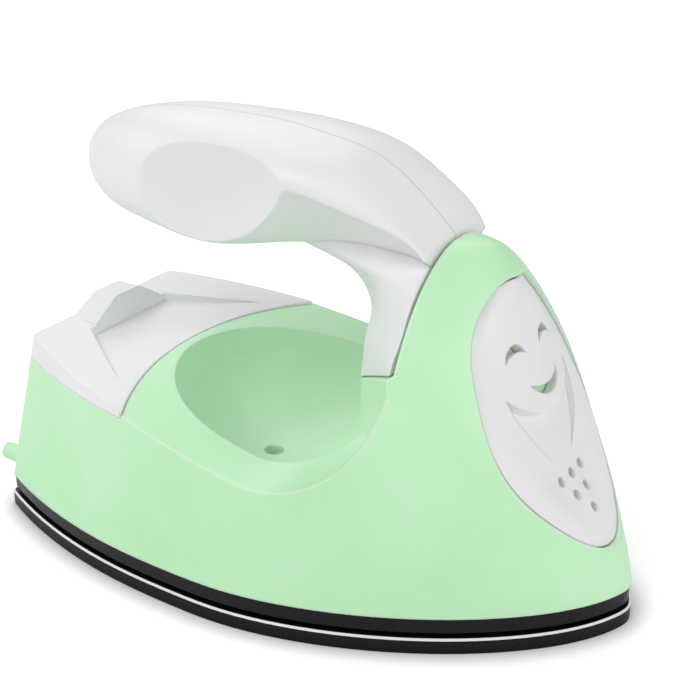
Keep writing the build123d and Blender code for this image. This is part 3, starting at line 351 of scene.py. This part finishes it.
def dress():
    """Every node's finish, by the record's material slots."""
    finishes = {
        # The sole's coat gets a painted highlight on its upper chamfer
        "sole_coating": coated("sole_coat", SOLE_BLACK, SOLE_PALE, 0.3, 5000, SOLE_PAINTED_HIGHLIGHT),
        "skirt_plastic": coated("skirt_black", SKIRT_BLACK, SKIRT_PALE, 0.24, 7000),
        # The plastics get a painted highlight on their edges and painted light in their hollows
        "green_plastic": moulded("mint_plastic", MINT, MINT_PALE, MINT_PAINTED_LIGHT, 0.34, SHELL_RADIUS),
        "white_plastic": moulded("white_plastic", WHITE, WHITE_PALE, WHITE_PAINTED_LIGHT, 0.4, SHELL_RADIUS),
        "heater_metal": metal("aluminium_sheet", ALUMINIUM, 0.35, 12),
        "mica": soft_stuff("mica_sheet", MICA, 0.5, 1500),
        "sheet_steel": metal("zinc_steel", STEEL, 0.32, 8),
        "sleeve_fibre": soft_stuff("glass_fibre", FIBRE, 0.7, 4000),
        "block_ceramic": soft_stuff("glazed_ceramic", CERAMIC, 0.25, 900),
        "lead_silicone": soft_stuff("silicone", SILICONE, 0.5, 2500),
        # Here the pale colour is also the painted highlight on edges and the painted light in hollows
        "inlet_rubber": moulded("mint_rubber", MINT, MINT_PALE, MINT_PALE, 0.55, SMALL_RADIUS),
        "clamp_plastic": moulded("clamp_nylon", NYLON, NYLON_PALE, NYLON_PALE, 0.5, SMALL_RADIUS),
        "screw_steel": metal("screw_zinc", STEEL, 0.28, 1),
    }
    slots = {row["node"]: row["material_slot"] for row in frame["record"]["subparts"]}
    for name, item in nodes.items():
        finish = finishes[slots[name]]
        if item.material_slots:
            for place in item.material_slots:
                place.material = finish
        else:
            item.data.materials.append(finish)


def ground():
    """A white floor that keeps the shadow, is painted darker close to the iron as a contact shadow, and
    turns plain white away from the iron.
    """
    size = FLOOR_REACH * (cad_high - cad_low).length
    mesh = bpy.data.meshes.new("floor")
    corners = ((-size, -size), (size, -size), (size, size), (-size, size))
    mesh.from_pydata([(x, y, -FLOOR_DROP) for x, y in corners], [], [(0, 1, 2, 3)])
    floor = bpy.data.objects.new("floor", mesh)
    bpy.context.collection.objects.link(floor)
    item, tree, shader = material("floor_paper")
    # Painted shadow: floor colour and glow darkened where the iron closes in
    painted_contact_shadow = openness(tree, PAINTED_SHADOW_REACH)
    painted_contact_shadow.inputs["Color"].default_value = PAPER
    tree.links.new(painted_contact_shadow.outputs["Color"], shader.inputs["Base Color"])
    tree.links.new(painted_contact_shadow.outputs["Color"], shader.inputs["Emission Color"])
    shader.inputs["Roughness"].default_value = FLOOR_ROUGHNESS
    path = tree.nodes.new("ShaderNodeLightPath")
    place = tree.nodes.new("ShaderNodeTexCoord")
    distance = tree.nodes.new("ShaderNodeVectorMath")
    distance.operation = "LENGTH"
    tree.links.new(place.outputs["Object"], distance.inputs[0])
    strength = ramp(tree, distance.outputs["Value"], NEAR_DISTANCE, FAR_DISTANCE, NEAR_GLOW, FAR_GLOW)
    glow = tree.nodes.new("ShaderNodeMath")
    glow.operation = "MULTIPLY"
    tree.links.new(strength, glow.inputs[0])
    tree.links.new(path.outputs["Is Camera Ray"], glow.inputs[1])
    tree.links.new(glow.outputs["Value"], shader.inputs["Emission Strength"])
    mesh.materials.append(item)


def world():
    """Even pale light all round, plain white to the camera."""
    item = bpy.data.worlds.new("studio")
    item.use_nodes = True
    tree = item.node_tree
    background = tree.nodes["Background"]
    background.inputs["Color"].default_value = PLAIN_WHITE
    path = tree.nodes.new("ShaderNodeLightPath")
    seen = tree.nodes.new("ShaderNodeMath")
    seen.operation = "MAXIMUM"
    tree.links.new(path.outputs["Is Camera Ray"], seen.inputs[0])
    tree.links.new(path.outputs["Is Transmission Ray"], seen.inputs[1])
    tree.links.new(ramp(tree, seen.outputs["Value"], 0, 1, WORLD_STRENGTH, 1.0),
                   background.inputs["Strength"])
    bpy.context.scene.world = item


dress()
ground()
world()
camera()
for name, place, size, power in LAMPS:
    lamp(name, place, size, power)
bpy.context.scene.view_settings.view_transform = "Standard"
